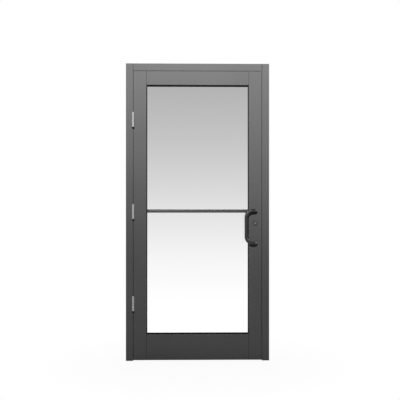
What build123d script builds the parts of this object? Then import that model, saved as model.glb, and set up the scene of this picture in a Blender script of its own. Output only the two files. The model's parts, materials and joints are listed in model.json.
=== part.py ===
from build123d import *
import os

# Glass entrance door in its frame, in millimetres.
# X runs along the wall, with the hinges at low X. Y runs through the wall, with the pull side at low Y.
# Z is up, and the origin is at floor level in the middle of the frame's width and depth.

# Frame
FRAME_WIDTH = 1016.0
FRAME_HEIGHT = 2106.0
FRAME_DEPTH = 114.3
FRAME_FACE = 50.8
FRAME_WALL = 3.2
FRAME_ROUND = 1.2
EDGE_GAP = 3.2
JOINT_GAP = 0.3

# Threshold
THRESHOLD_HEIGHT = 3.2
THRESHOLD_DEPTH = 66.5
THRESHOLD_REACH = 2.8
THRESHOLD_LIP = 1.0
THRESHOLD_FRONT_BEVEL = 3.0
THRESHOLD_BACK_BEVEL = 10.0
FLUTE_WIDTH = 2.0
FLUTE_DEPTH = 0.8
FLUTE_PITCH = 6.0
FLUTE_COUNT = 5
THRESHOLD_SCREW_SHARES = (-0.42, -0.14, 0.14, 0.42)

# Door stops and their bulb seals
STOP_HEIGHT = 16.0
STOP_DEPTH = 40.0
STOP_WALL = 1.8
STOP_FRONT_WALL = 5.0
STOP_ROUND = 0.8
STOP_TONGUE = 1.2
KERF_WIDTH = 2.2
KERF_DEPTH = 3.2
SEAL_GAP = 6.0
SEAL_CLEARANCE = 0.3
SEAL_WALL = 1.0

# Leaf
LEAF_THICKNESS = 44.45
LEAF_UNDERCUT = 1.8
LEAF_WALL = 3.2
LEAF_ROUND = 1.2
STILE_FACE = 91.0
TOP_RAIL_FACE = 97.0
BOTTOM_RAIL_FACE = 181.5

# Glazing
POCKET_DEPTH = 16.0
GLASS_THICKNESS = 6.35
GLASS_BITE = 10.0
GASKET_THICKNESS = 5.4
GASKET_WIDTH = 11.0
GASKET_SIDE_LIP = 5.0
GASKET_LEVEL_LIP = 8.3
NIB_WALL = 2.4
BEAD_WALL = 1.6
BEAD_ROUND = 0.8
BEAD_TONGUE = 1.2
BEAD_TONGUE_WIDTH = 3.0
SETTING_BLOCK_LENGTH = 100.0
SETTING_BLOCK_SHARES = (-0.25, 0.25)

# Corner joints of the leaf
CORNER_BLOCK_LENGTH = 48.0
CORNER_BLOCK_WALL = 5.0
CORNER_BLOCK_WEB = 8.0
TIE_ROD_RADIUS = 4.75
TIE_ROD_END = 4.0
TIE_NUT_ACROSS = 15.0
TIE_NUT_HEIGHT = 8.0
TIE_WASHER_RADIUS = 11.0
TIE_WASHER_THICKNESS = 2.0

# Header joints
CLIP_LENGTH = 42.0
CLIP_WIDTH = 84.0
CLIP_WALL = 5.0
CLIP_SCREW_SHARES = (-0.3, 0.3)

# Edge pile and bottom sweep
PILE_WIDTH = 5.0
PILE_INSET = 1.6
PILE_GROOVE = 1.2
PILE_CLEARANCE = 0.6
SWEEP_RISE = 3.0
SWEEP_HEIGHT = 32.0
SWEEP_FLANGE = 2.0
SWEEP_DEPTH = 8.0
SWEEP_CHANNEL = 9.0
SWEEP_SLOT_WIDTH = 5.0
SWEEP_SLOT_DEPTH = 6.0
SWEEP_CLEARANCE = 0.5
SWEEP_SCREW_RISE = 21.0
SWEEP_SCREW_SHARES = (-0.62, -0.2, 0.2, 0.62)

# Hinges
HINGE_HEIGHT = 101.6
HINGE_TOP_INSET = 345.0
HINGE_BOTTOM_INSET = 400.0
KNUCKLE_COUNT = 5
KNUCKLE_RADIUS = 7.0
KNUCKLE_CLEARANCE = 0.5
KNUCKLE_PLAY = 0.3
PIN_RADIUS = 3.5
TIP_RADIUS = 6.4
TIP_HEIGHT = 2.6
TIP_ROUND = 1.8
HINGE_PLATE_DEPTH = 36.0
BACKING_THICKNESS = 5.0
BACKING_MARGIN = 22.0
HINGE_SCREW_HEIGHT_SHARES = (-0.36, -0.14, 0.14, 0.36)
HINGE_SCREW_DEPTH_SHARES = (0.38, 0.74, 0.74, 0.38)

# Lock
LOCK_DROP = 88.5
CYLINDER_RADIUS = 14.6
CYLINDER_HEAD_RADIUS = 16.2
CYLINDER_HEAD = 2.4
COLLAR_RADIUS = 17.6
COLLAR_HEIGHT = 5.0
COLLAR_TAPER = 1.6
PLUG_RADIUS = 6.35
KEYWAY_WIDTH = 1.6
KEYWAY_HEIGHT = 8.4
KEYWAY_DEPTH = 16.0
CAM_RADIUS = 9.0
CAM_REACH = 13.0
CAM_THICKNESS = 3.2
CAM_SPACE = 5.0
TURN_LENGTH = 32.0
TURN_WIDTH = 11.0
TURN_HEIGHT = 17.0
TURN_NECK = 3.0
CASE_HEIGHT = 124.0
CASE_THICKNESS = 26.0
CASE_WALL = 2.4
CASE_BACKSET = 22.0
BOLT_RISE = 26.0
BOLT_PIVOT_INSET = 17.0
BOLT_LENGTH = 44.0
BOLT_HALF_WIDTH = 9.0
BOLT_THICKNESS = 12.0
BOLT_PIN_RADIUS = 4.0
SLOT_CLEARANCE = 0.8
FACEPLATE_THICKNESS = 1.6
FACEPLATE_WIDTH = 25.4
FACEPLATE_HEIGHT = 150.0
FACEPLATE_SCREW_SHARES = (-0.38, 0.38)
STRIKE_HEIGHT = 96.0
STRIKE_SCREW_SHARES = (-0.42, 0.42)

# Pull handle and push bar
PULL_CENTRES = 228.6
PULL_TOP_HEIGHT = 1062.5
PULL_RADIUS = 11.1
PULL_PROJECTION = 52.0
PULL_OFFSET = 68.5
PULL_FOOT_BEND = 22.0
PULL_GRIP_BEND = 45.0
PUSH_RADIUS = 12.7
PUSH_PROJECTION = 62.0
PUSH_BEND = 48.0
STUD_RADIUS = 4.0
STUD_ENGAGEMENT = 18.0
STUD_HEAD_RADIUS = 8.0
STUD_HEAD_HEIGHT = 4.0
STUD_NUT_RADIUS = 6.5
STUD_NUT_HEIGHT = 8.0
SOCKET_ACROSS = 5.0
SOCKET_DEPTH = 2.4

# Screws and fits
SCREW_RADIUS = 2.2
SCREW_HEAD_RADIUS = 4.4
SCREW_HEAD_HEIGHT = 2.2
SCREW_GRIP = 3.0
DRIVE_LENGTH = 5.0
DRIVE_WIDTH = 1.2
DRIVE_DEPTH = 1.3
ANCHOR_RADIUS = 4.2
ANCHOR_INSET = 13.0
ANCHOR_SHARES = (0.10, 0.36, 0.62, 0.88)
RUNNING_FIT = 0.05
SEAT_FIT = 0.1
SLIP_FIT = 0.25
OVERRUN = 2.0

# Places that the sizes above lead to
FRONT = -FRAME_DEPTH / 2
BACK = FRAME_DEPTH / 2
JAMB_X = FRAME_WIDTH / 2 - FRAME_FACE
LEAF_X = JAMB_X - EDGE_GAP
SIGHT_X = LEAF_X - STILE_FACE
POCKET_X = SIGHT_X + POCKET_DEPTH
HEADER_Z = FRAME_HEIGHT - FRAME_FACE
LEAF_TOP = HEADER_Z - EDGE_GAP
LEAF_BOTTOM = THRESHOLD_HEIGHT + LEAF_UNDERCUT
SIGHT_TOP = LEAF_TOP - TOP_RAIL_FACE
SIGHT_BOTTOM = LEAF_BOTTOM + BOTTOM_RAIL_FACE
POCKET_TOP = SIGHT_TOP + POCKET_DEPTH
POCKET_BOTTOM = SIGHT_BOTTOM - POCKET_DEPTH
LEAF_BACK = FRONT + LEAF_THICKNESS
LEAF_MIDDLE = FRONT + LEAF_THICKNESS / 2
GLASS_FRONT = LEAF_MIDDLE - GLASS_THICKNESS / 2
GLASS_BACK = LEAF_MIDDLE + GLASS_THICKNESS / 2
NIB_BACK = GLASS_FRONT - GASKET_THICKNESS
BEAD_FRONT = GLASS_BACK + GASKET_THICKNESS
STOP_FRONT = LEAF_BACK + SEAL_GAP
THRESHOLD_FRONT = LEAF_BACK - THRESHOLD_REACH
SWEEP_LOW = LEAF_BOTTOM + SWEEP_RISE
SWEEP_Y = LEAF_BACK + SWEEP_DEPTH / 2
SWEEP_X = JAMB_X - STOP_HEIGHT - EDGE_GAP
TOP_ROD_Z = (POCKET_TOP + LEAF_TOP) / 2
BOTTOM_ROD_Z = (POCKET_BOTTOM + LEAF_BOTTOM) / 2
AXIS_X = -(JAMB_X + LEAF_X) / 2
AXIS_Y = FRONT - KNUCKLE_RADIUS - KNUCKLE_CLEARANCE
UPPER_HINGE = LEAF_TOP - HINGE_TOP_INSET
LOWER_HINGE = LEAF_BOTTOM + HINGE_BOTTOM_INSET
HINGE_HEIGHTS = (UPPER_HINGE, (UPPER_HINGE + LOWER_HINGE) / 2, LOWER_HINGE)
LOCK_X = LEAF_X - STILE_FACE / 2
BOLT_X = LEAF_X - BOLT_PIVOT_INSET
LOCK_HEIGHT = PULL_TOP_HEIGHT - LOCK_DROP
BOLT_Z = LOCK_HEIGHT + BOLT_RISE
PULL_HEIGHTS = (PULL_TOP_HEIGHT, PULL_TOP_HEIGHT - PULL_CENTRES)
ANCHOR_Y = BACK - ANCHOR_INSET
ANCHOR_HEIGHTS = [share * FRAME_HEIGHT for share in ANCHOR_SHARES]


def rect(u0, u1, v0, v1):
    """Flat rectangle between two corners."""
    return Pos((u0 + u1) / 2, (v0 + v1) / 2) * Rectangle(u1 - u0, v1 - v0)


def block(x0, x1, y0, y1, z0, z1):
    """Solid box between two corners."""
    return Pos((x0 + x1) / 2, (y0 + y1) / 2, (z0 + z1) / 2) * Box(x1 - x0, y1 - y0, z1 - z0)


def upright(section, z0, z1):
    """A section drawn in X and Y, run from one height to another."""
    return Pos(0, 0, z0) * extrude(section, amount=z1 - z0, dir=(0, 0, 1))


def level(section, x0, x1):
    """A section drawn in Y and Z, run from one X to another."""
    return Pos(x0, 0, 0) * extrude(Plane.YZ * section, amount=x1 - x0, dir=(1, 0, 0))


def round_x(radius, x0, x1, y, z):
    """Cylinder along X."""
    return Pos((x0 + x1) / 2, y, z) * Rot(0, 90, 0) * Cylinder(radius, x1 - x0)


def round_y(radius, y0, y1, x, z):
    """Cylinder along Y."""
    return Pos(x, (y0 + y1) / 2, z) * Rot(90, 0, 0) * Cylinder(radius, y1 - y0)


def round_z(radius, z0, z1, x, y):
    """Cylinder along Z."""
    return Pos(x, y, (z0 + z1) / 2) * Cylinder(radius, z1 - z0)


def handed(shape):
    """The same shape on the other side of the door's middle."""
    return mirror(shape, about=Plane.YZ)


def screw_form(length, spread):
    """Countersunk screw shape along +Z from its flush head at zero, made wider by a spread."""
    cone = Cone(SCREW_HEAD_RADIUS + spread, SCREW_RADIUS + spread, SCREW_HEAD_HEIGHT)
    shank = Pos(0, 0, length / 2) * Cylinder(SCREW_RADIUS + spread, length)
    return Pos(0, 0, SCREW_HEAD_HEIGHT / 2) * cone + shank


def drive_recess():
    """Cross recess that a screwdriver fits, cut down from zero along +Z."""
    half, narrow = DRIVE_LENGTH / 2, DRIVE_WIDTH / 2
    slot = block(-half, half, -narrow, narrow, -DRIVE_DEPTH, DRIVE_DEPTH)
    return slot + Rot(0, 0, 90) * slot


def flat_screw(length):
    """Countersunk screw with its cross recess."""
    return screw_form(length, 0) - drive_recess()


def screw_hole(length):
    """The countersunk hole that a flat screw sits in."""
    return screw_form(length, RUNNING_FIT)


def pan_screw(length):
    """Pan head screw along +Z, with its head below zero."""
    head = Pos(0, 0, -SCREW_HEAD_HEIGHT / 2) * Cylinder(SCREW_HEAD_RADIUS, SCREW_HEAD_HEIGHT)
    head -= Pos(0, 0, -SCREW_HEAD_HEIGHT) * drive_recess()
    return head + Pos(0, 0, length / 2) * Cylinder(SCREW_RADIUS, length)


def aimed_x(shape, x, y, z, side):
    """A shape drawn along +Z, turned to point along +X or -X from a place."""
    return Pos(x, y, z) * Rot(0, 90 * side, 0) * shape


# Frame members

def jamb_blank():
    """Strike side jamb tube, full height, with the two grooves that hold the door stop."""
    edge = FRAME_WIDTH / 2
    outer = fillet(rect(JAMB_X, edge, FRONT, BACK).vertices(), radius=FRAME_ROUND)
    void = rect(JAMB_X + FRAME_WALL, edge - FRAME_WALL, FRONT + FRAME_WALL, BACK - FRAME_WALL)
    section = outer - void
    for lo, hi in stop_legs():
        section -= rect(JAMB_X - OVERRUN, JAMB_X + STOP_TONGUE, lo, hi)
    tube = upright(section, 0, FRAME_HEIGHT)
    for height in ANCHOR_HEIGHTS:
        tube -= round_x(ANCHOR_RADIUS, JAMB_X - OVERRUN, edge + OVERRUN, ANCHOR_Y, height)
    for y in clip_screw_places():
        tube -= round_x(SCREW_RADIUS + RUNNING_FIT, JAMB_X - OVERRUN, JAMB_X + FRAME_WALL + OVERRUN, y,
                        HEADER_Z + FRAME_FACE / 2)
    return tube


def strike_slot(x0, x1):
    """The upright slot that the bolt swings through."""
    reach = BOLT_LENGTH + SLOT_CLEARANCE
    half = BOLT_THICKNESS / 2 + SLOT_CLEARANCE
    top = BOLT_Z + BOLT_HALF_WIDTH + SLOT_CLEARANCE
    return block(x0, x1, LEAF_MIDDLE - half, LEAF_MIDDLE + half, BOLT_Z - reach, top)


def slot_centre():
    """Middle height of the bolt's slot."""
    return BOLT_Z + (BOLT_HALF_WIDTH - BOLT_LENGTH) / 2


def strike_screw_heights():
    return [slot_centre() + share * STRIKE_HEIGHT for share in STRIKE_SCREW_SHARES]


def strike_jamb():
    half = FACEPLATE_WIDTH / 2 + SEAT_FIT
    tall = STRIKE_HEIGHT / 2 + SEAT_FIT
    recess = block(JAMB_X - OVERRUN, JAMB_X + FACEPLATE_THICKNESS, LEAF_MIDDLE - half, LEAF_MIDDLE + half,
                   slot_centre() - tall, slot_centre() + tall)
    tube = jamb_blank() - recess - strike_slot(JAMB_X - OVERRUN, JAMB_X + FRAME_WALL + OVERRUN)
    for height in strike_screw_heights():
        tube -= aimed_x(screw_hole(FRAME_WALL + OVERRUN), JAMB_X, LEAF_MIDDLE, height, 1)
    return tube


def hinge_jamb():
    tube = handed(jamb_blank())
    for height in HINGE_HEIGHTS:
        half = HINGE_HEIGHT / 2
        tube -= block(-JAMB_X - FRAME_WALL, -JAMB_X + OVERRUN, FRONT - OVERRUN, FRONT + HINGE_PLATE_DEPTH,
                      height - half, height + half)
    return tube


def frame_header():
    outer = fillet(rect(FRONT, BACK, HEADER_Z, FRAME_HEIGHT).vertices(), radius=FRAME_ROUND)
    void = rect(FRONT + FRAME_WALL, BACK - FRAME_WALL, HEADER_Z + FRAME_WALL, FRAME_HEIGHT - FRAME_WALL)
    section = outer - void
    for lo, hi in stop_legs():
        section -= rect(lo, hi, HEADER_Z - OVERRUN, HEADER_Z + STOP_TONGUE)
    end = JAMB_X - JOINT_GAP
    tube = level(section, -end, end)
    for side in (-1, 1):
        x = side * clip_floor_screw_x()
        tube -= round_z(SCREW_RADIUS + RUNNING_FIT, HEADER_Z - OVERRUN, HEADER_Z + FRAME_WALL + OVERRUN, x,
                        clip_floor_screw_y())
    return tube


def clip_screw_places():
    return [share * CLIP_WIDTH for share in CLIP_SCREW_SHARES]


def clip_floor_screw_x():
    return JAMB_X - (CLIP_WALL + CLIP_LENGTH) / 2


def clip_floor_screw_y():
    return STOP_FRONT + STOP_DEPTH / 2


def header_clips():
    """Angle clips inside the header's ends, one leg on the jamb and one on the header's floor."""
    floor = HEADER_Z + FRAME_WALL
    top = FRAME_HEIGHT - FRAME_WALL - SLIP_FIT
    half = CLIP_WIDTH / 2
    outline = Polyline((JAMB_X, floor), (JAMB_X, top), (JAMB_X - CLIP_WALL, top),
                       (JAMB_X - CLIP_WALL, floor + CLIP_WALL), (JAMB_X - CLIP_LENGTH, floor + CLIP_WALL),
                       (JAMB_X - CLIP_LENGTH, floor), close=True)
    clip = extrude(Plane.XZ * make_face(outline), amount=half, both=True)
    for y in clip_screw_places():
        clip -= round_x(SCREW_RADIUS + RUNNING_FIT, JAMB_X - CLIP_WALL - OVERRUN, JAMB_X + OVERRUN, y,
                        HEADER_Z + FRAME_FACE / 2)
    clip -= round_z(SCREW_RADIUS + RUNNING_FIT, floor - OVERRUN, floor + CLIP_WALL + OVERRUN,
                    clip_floor_screw_x(), clip_floor_screw_y())
    return Compound([handed(clip), clip])


def header_clip_screws():
    """Screws from the clips into the jambs, and from under the header up into the clips."""
    length = CLIP_WALL + FRAME_WALL + SCREW_GRIP
    screws = []
    for side in (-1, 1):
        x = side * (JAMB_X - CLIP_WALL)
        for y in clip_screw_places():
            screws.append(aimed_x(pan_screw(length), x, y, HEADER_Z + FRAME_FACE / 2, side))
        screws.append(Pos(side * clip_floor_screw_x(), clip_floor_screw_y(), HEADER_Z) * pan_screw(length))
    return Compound(screws)


def threshold():
    """Flat saddle plate behind the leaf with bevelled edges and a fluted top."""
    front, back, top = THRESHOLD_FRONT, THRESHOLD_FRONT + THRESHOLD_DEPTH, THRESHOLD_HEIGHT
    brow, heel = front + THRESHOLD_FRONT_BEVEL, back - THRESHOLD_BACK_BEVEL
    outline = Polyline((front, 0), (back, 0), (back, THRESHOLD_LIP), (heel, top), (brow, top),
                       (front, THRESHOLD_LIP), close=True)
    section = make_face(outline)
    for step in range(FLUTE_COUNT):
        y = flute_middle() + (step - (FLUTE_COUNT - 1) / 2) * FLUTE_PITCH
        section -= rect(y - FLUTE_WIDTH / 2, y + FLUTE_WIDTH / 2, top - FLUTE_DEPTH, top + OVERRUN)
    saddle = level(section, -JAMB_X, JAMB_X)
    for place in threshold_screw_places():
        saddle -= place * screw_hole(THRESHOLD_HEIGHT + OVERRUN)
    return saddle


def flute_middle():
    """The middle of the saddle's flat top."""
    back = THRESHOLD_FRONT + THRESHOLD_DEPTH
    return (THRESHOLD_FRONT + THRESHOLD_FRONT_BEVEL + back - THRESHOLD_BACK_BEVEL) / 2


def threshold_screw_places():
    """Screw heads just behind the flutes, on the flat of the saddle."""
    y = flute_middle() + FLUTE_COUNT * FLUTE_PITCH / 2 + FLUTE_WIDTH
    places = [share * FRAME_WIDTH for share in THRESHOLD_SCREW_SHARES]
    return [Pos(x, y, THRESHOLD_HEIGHT) * Rot(180, 0, 0) for x in places]


def threshold_screws():
    screw = flat_screw(THRESHOLD_HEIGHT)
    return Compound([place * screw for place in threshold_screw_places()])


# Door stops and seals

def stop_legs():
    """The Y ranges of a stop's two legs, which snap into grooves in the frame."""
    back = STOP_FRONT + STOP_DEPTH
    front_leg = (STOP_FRONT + STOP_ROUND, STOP_FRONT + STOP_FRONT_WALL)
    return [front_leg, (back - STOP_WALL - STOP_ROUND, back - STOP_ROUND)]


def stop_section(floor, out):
    """Channel open towards the frame face at floor, reaching out to the doorway, in (Y, reach) order."""
    back = STOP_FRONT + STOP_DEPTH
    low, high = sorted((floor, floor + out * STOP_HEIGHT))
    shell = rect(STOP_FRONT, back, low, high)
    tip = [v for v in shell.vertices() if abs(v.Y - floor) > STOP_HEIGHT / 2]
    shell = fillet(tip, radius=STOP_ROUND)
    low, high = sorted((floor, floor + out * (STOP_HEIGHT - STOP_WALL)))
    shell -= rect(STOP_FRONT + STOP_FRONT_WALL, back - STOP_WALL - STOP_ROUND, low, high)
    low, high = sorted((floor, floor - out * (STOP_TONGUE - SEAT_FIT)))
    for lo, hi in stop_legs():
        shell += rect(lo + SEAT_FIT, hi - SEAT_FIT, low, high)
    middle = floor + out * STOP_HEIGHT / 2
    return shell - rect(STOP_FRONT - OVERRUN, STOP_FRONT + KERF_DEPTH, middle - KERF_WIDTH / 2,
                        middle + KERF_WIDTH / 2)


def seal_section(floor, out):
    """Hollow bulb with a stem that pushes into the stop's kerf."""
    middle = floor + out * STOP_HEIGHT / 2
    radius = (SEAL_GAP - SEAL_CLEARANCE) / 2
    bulb = Pos(STOP_FRONT - radius, middle) * Circle(radius)
    half = KERF_WIDTH / 2 - RUNNING_FIT
    stem = rect(STOP_FRONT - radius, STOP_FRONT + KERF_DEPTH - RUNNING_FIT, middle - half, middle + half)
    return bulb + stem - Pos(STOP_FRONT - radius, middle) * Circle(radius - SEAL_WALL)


def swap(section):
    """A section drawn in (Y, X) order, put in (X, Y) order."""
    return mirror(section, about=Plane(origin=(0, 0, 0), z_dir=(1, -1, 0)))


def strike_jamb_stop():
    return upright(swap(stop_section(JAMB_X, -1)), THRESHOLD_HEIGHT, HEADER_Z)


def hinge_jamb_stop():
    return handed(strike_jamb_stop())


def header_stop():
    reach = JAMB_X - STOP_HEIGHT
    return level(stop_section(HEADER_Z, -1), -reach, reach)


def strike_jamb_seal():
    return upright(swap(seal_section(JAMB_X, -1)), THRESHOLD_HEIGHT, HEADER_Z)


def hinge_jamb_seal():
    return handed(strike_jamb_seal())


def header_seal():
    reach = JAMB_X - STOP_HEIGHT
    return level(seal_section(HEADER_Z, -1), -reach, reach)


# Leaf members

def stile_blank():
    """Lock side stile: a tube with a hollow glazing nib on the pull side and grooves for beads and pile."""
    tube = rect(POCKET_X, LEAF_X, FRONT, LEAF_BACK)
    nib = rect(SIGHT_X, POCKET_X, FRONT, NIB_BACK)
    outer = tube + nib
    corners = [v for v in outer.vertices() if abs(v.X - POCKET_X) > POCKET_DEPTH / 2 or v.Y > LEAF_MIDDLE]
    section = fillet(corners, radius=LEAF_ROUND)
    section -= rect(POCKET_X + LEAF_WALL, LEAF_X - LEAF_WALL, FRONT + LEAF_WALL, LEAF_BACK - LEAF_WALL)
    section -= rect(SIGHT_X + NIB_WALL, POCKET_X, FRONT + LEAF_WALL, NIB_BACK - NIB_WALL)
    lo, hi = bead_tongue()
    section -= rect(POCKET_X - OVERRUN, POCKET_X + BEAD_TONGUE, lo, hi)
    pile = FRONT + PILE_INSET
    section -= rect(LEAF_X - PILE_GROOVE, LEAF_X + OVERRUN, pile, pile + PILE_WIDTH)
    stile = upright(section, LEAF_BOTTOM, LEAF_TOP)
    for height in (TOP_ROD_Z, BOTTOM_ROD_Z):
        stile -= round_x(TIE_ROD_RADIUS + SLIP_FIT, POCKET_X - OVERRUN, POCKET_X + LEAF_WALL + OVERRUN,
                         LEAF_MIDDLE, height)
    return stile - top_pile_groove()


def top_pile_groove():
    """Groove for the pile strip along the whole top edge of the leaf."""
    return block(-LEAF_X - OVERRUN, LEAF_X + OVERRUN, FRONT + PILE_INSET, FRONT + PILE_INSET + PILE_WIDTH,
                 LEAF_TOP - PILE_GROOVE, LEAF_TOP + OVERRUN)


def bead_tongue():
    """The Y range of the tongue that a bead snaps into its member with."""
    middle = (BEAD_FRONT + LEAF_BACK) / 2
    return middle - BEAD_TONGUE_WIDTH / 2, middle + BEAD_TONGUE_WIDTH / 2


def hinge_stile():
    stile = handed(stile_blank())
    half = HINGE_HEIGHT / 2
    for height in HINGE_HEIGHTS:
        stile -= block(-LEAF_X - OVERRUN, -LEAF_X + LEAF_WALL, FRONT - OVERRUN, FRONT + HINGE_PLATE_DEPTH,
                       height - half, height + half)
    return stile - round_y(STUD_RADIUS + SLIP_FIT, LEAF_BACK - LEAF_WALL - OVERRUN, LEAF_BACK + OVERRUN,
                           -LOCK_X, PULL_TOP_HEIGHT)


def lock_stile():
    stile = stile_blank()
    half = FACEPLATE_WIDTH / 2 + SEAT_FIT
    tall = FACEPLATE_HEIGHT / 2 + SEAT_FIT
    stile -= block(LEAF_X - FACEPLATE_THICKNESS, LEAF_X + OVERRUN, LEAF_MIDDLE - half, LEAF_MIDDLE + half,
                   LOCK_HEIGHT - tall, LOCK_HEIGHT + tall)
    stile -= strike_slot(LEAF_X - LEAF_WALL - OVERRUN, LEAF_X + OVERRUN)
    for height in faceplate_screw_heights():
        stile -= aimed_x(screw_hole(LEAF_WALL + OVERRUN), LEAF_X, LEAF_MIDDLE, height, -1)
    stile -= round_y(CYLINDER_RADIUS + SLIP_FIT, FRONT - OVERRUN, LEAF_BACK + OVERRUN, LOCK_X, LOCK_HEIGHT)
    for height in PULL_HEIGHTS:
        stile -= round_y(STUD_RADIUS + SLIP_FIT, FRONT - OVERRUN, LEAF_BACK + OVERRUN, LOCK_X, height)
    return stile


def rail(edge, pocket, sight):
    """Rail tube with its glazing nib, coped at both ends round the nibs of the stiles."""
    low, high = sorted((edge, pocket))
    outer = rect(FRONT, LEAF_BACK, low, high) + rect(FRONT, NIB_BACK, *sorted((pocket, sight)))
    corners = [v for v in outer.vertices() if abs(v.Y - pocket) > POCKET_DEPTH / 2 or v.X > LEAF_MIDDLE]
    section = fillet(corners, radius=LEAF_ROUND)
    section -= rect(FRONT + LEAF_WALL, LEAF_BACK - LEAF_WALL, low + LEAF_WALL, high - LEAF_WALL)
    inner = sight + (NIB_WALL if sight < pocket else -NIB_WALL)
    section -= rect(FRONT + LEAF_WALL, NIB_BACK - NIB_WALL, *sorted((pocket, inner)))
    lo, hi = bead_tongue()
    groove = pocket + (BEAD_TONGUE if edge > pocket else -BEAD_TONGUE)
    section -= rect(lo, hi, *sorted((groove, 2 * pocket - groove)))
    end = POCKET_X - JOINT_GAP
    bar = level(section, -end, end)
    low, high = sorted((edge, sight))
    for side in (-1, 1):
        x0, x1 = sorted((side * (SIGHT_X - JOINT_GAP), side * (POCKET_X + OVERRUN)))
        bar -= block(x0, x1, FRONT - OVERRUN, NIB_BACK + JOINT_GAP, low - OVERRUN, high + OVERRUN)
    return bar


def top_rail():
    return rail(LEAF_TOP, POCKET_TOP, SIGHT_TOP) - top_pile_groove()


def bottom_rail():
    bar = rail(LEAF_BOTTOM, POCKET_BOTTOM, SIGHT_BOTTOM)
    y0, y1 = LEAF_BACK - LEAF_WALL - OVERRUN, LEAF_BACK + OVERRUN
    for x, z in sweep_screw_places():
        bar -= round_y(SCREW_RADIUS + RUNNING_FIT, y0, y1, x, z)
    return bar


def corner_blocks():
    """Open boxes inside the rails' ends, with a web that the tie rod passes through."""
    blocks = []
    for z0, z1, rod in ((POCKET_TOP, LEAF_TOP, TOP_ROD_Z), (LEAF_BOTTOM, POCKET_BOTTOM, BOTTOM_ROD_Z)):
        y0, y1 = FRONT + LEAF_WALL + SLIP_FIT, LEAF_BACK - LEAF_WALL - SLIP_FIT
        low, high = z0 + LEAF_WALL, z1 - LEAF_WALL - SLIP_FIT
        x1 = POCKET_X
        x0 = x1 - CORNER_BLOCK_LENGTH
        box = block(x0, x1, y0, y1, low, high)
        box -= block(x0 - OVERRUN, x1 - CORNER_BLOCK_WEB, y0 + CORNER_BLOCK_WALL, y1 - CORNER_BLOCK_WALL,
                     low + CORNER_BLOCK_WALL, high - CORNER_BLOCK_WALL)
        box -= round_x(TIE_ROD_RADIUS + SLIP_FIT, x0, x1 + OVERRUN, LEAF_MIDDLE, rod)
        box -= block(SIGHT_X, x1 + OVERRUN, y0 - OVERRUN, NIB_BACK, low - OVERRUN, high + OVERRUN)
        blocks += [handed(box), box]
    return Compound(blocks)


def tie_rod(height):
    reach = POCKET_X + LEAF_WALL + TIE_WASHER_THICKNESS + TIE_NUT_HEIGHT + TIE_ROD_END
    return round_x(TIE_ROD_RADIUS, -reach, reach, LEAF_MIDDLE, height)


def top_tie_rod():
    return tie_rod(TOP_ROD_Z)


def bottom_tie_rod():
    return tie_rod(BOTTOM_ROD_Z)


def tie_rod_nuts():
    """A washer and a hexagon nut inside each stile at each end of the rods."""
    bore = TIE_ROD_RADIUS + RUNNING_FIT
    washer = Circle(TIE_WASHER_RADIUS) - Circle(bore)
    nut = RegularPolygon(TIE_NUT_ACROSS / 2, 6, major_radius=False) - Circle(bore)
    stack = extrude(washer, amount=TIE_WASHER_THICKNESS)
    stack += Pos(0, 0, TIE_WASHER_THICKNESS) * extrude(nut, amount=TIE_NUT_HEIGHT)
    pieces = []
    for height in (TOP_ROD_Z, BOTTOM_ROD_Z):
        for side in (-1, 1):
            pieces.append(aimed_x(stack, side * (POCKET_X + LEAF_WALL), LEAF_MIDDLE, height, side))
    return Compound(pieces)


# Glazing

def glass_pane():
    half = SIGHT_X + GLASS_BITE
    return block(-half, half, GLASS_FRONT, GLASS_BACK, SIGHT_BOTTOM - GLASS_BITE, SIGHT_TOP + GLASS_BITE)


def setting_blocks():
    """Two pads that carry the glass on the bottom rail."""
    pads = []
    for share in SETTING_BLOCK_SHARES:
        x = share * 2 * SIGHT_X
        half = SETTING_BLOCK_LENGTH / 2
        pads.append(block(x - half, x + half, GLASS_FRONT, GLASS_BACK, POCKET_BOTTOM,
                          SIGHT_BOTTOM - GLASS_BITE))
    return Compound(pads)


def gasket_set(y0, y1):
    """Four gasket strips on one side of the glass, the upright ones full height."""
    out = GASKET_WIDTH - GASKET_LEVEL_LIP
    reach = SIGHT_X - GASKET_SIDE_LIP
    side = block(reach, reach + GASKET_WIDTH, y0, y1, SIGHT_BOTTOM - out, SIGHT_TOP + out)
    top = block(-reach, reach, y0, y1, SIGHT_TOP - GASKET_LEVEL_LIP, SIGHT_TOP + out)
    bottom = block(-reach, reach, y0, y1, SIGHT_BOTTOM - out, SIGHT_BOTTOM + GASKET_LEVEL_LIP)
    return Compound([handed(side), side, top, bottom])


def front_gaskets():
    return gasket_set(NIB_BACK, GLASS_FRONT)


def rear_gaskets():
    return gasket_set(GLASS_BACK, BEAD_FRONT)


def bead_section(seat, sight):
    """Hollow snap-in bead from its member's wall to the sight line, in (Y, reach) order."""
    low, high = sorted((seat, sight))
    shell = rect(BEAD_FRONT, LEAF_BACK, low, high)
    shell = fillet([v for v in shell.vertices() if abs(v.Y - sight) < BEAD_ROUND], radius=BEAD_ROUND)
    shell -= rect(BEAD_FRONT + BEAD_WALL, LEAF_BACK - BEAD_WALL, low + BEAD_WALL, high - BEAD_WALL)
    lo, hi = bead_tongue()
    away = 1 if seat > sight else -1
    tip = seat + away * (BEAD_TONGUE - SEAT_FIT)
    return shell + rect(lo + SEAT_FIT, hi - SEAT_FIT, *sorted((seat, tip)))


def lock_side_bead():
    return upright(swap(bead_section(POCKET_X, SIGHT_X)), SIGHT_BOTTOM, SIGHT_TOP)


def hinge_side_bead():
    return handed(lock_side_bead())


def top_bead():
    return level(bead_section(POCKET_TOP, SIGHT_TOP), -POCKET_X, POCKET_X)


def bottom_bead():
    return level(bead_section(POCKET_BOTTOM, SIGHT_BOTTOM), -POCKET_X, POCKET_X)


# Weather strips of the leaf

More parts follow.
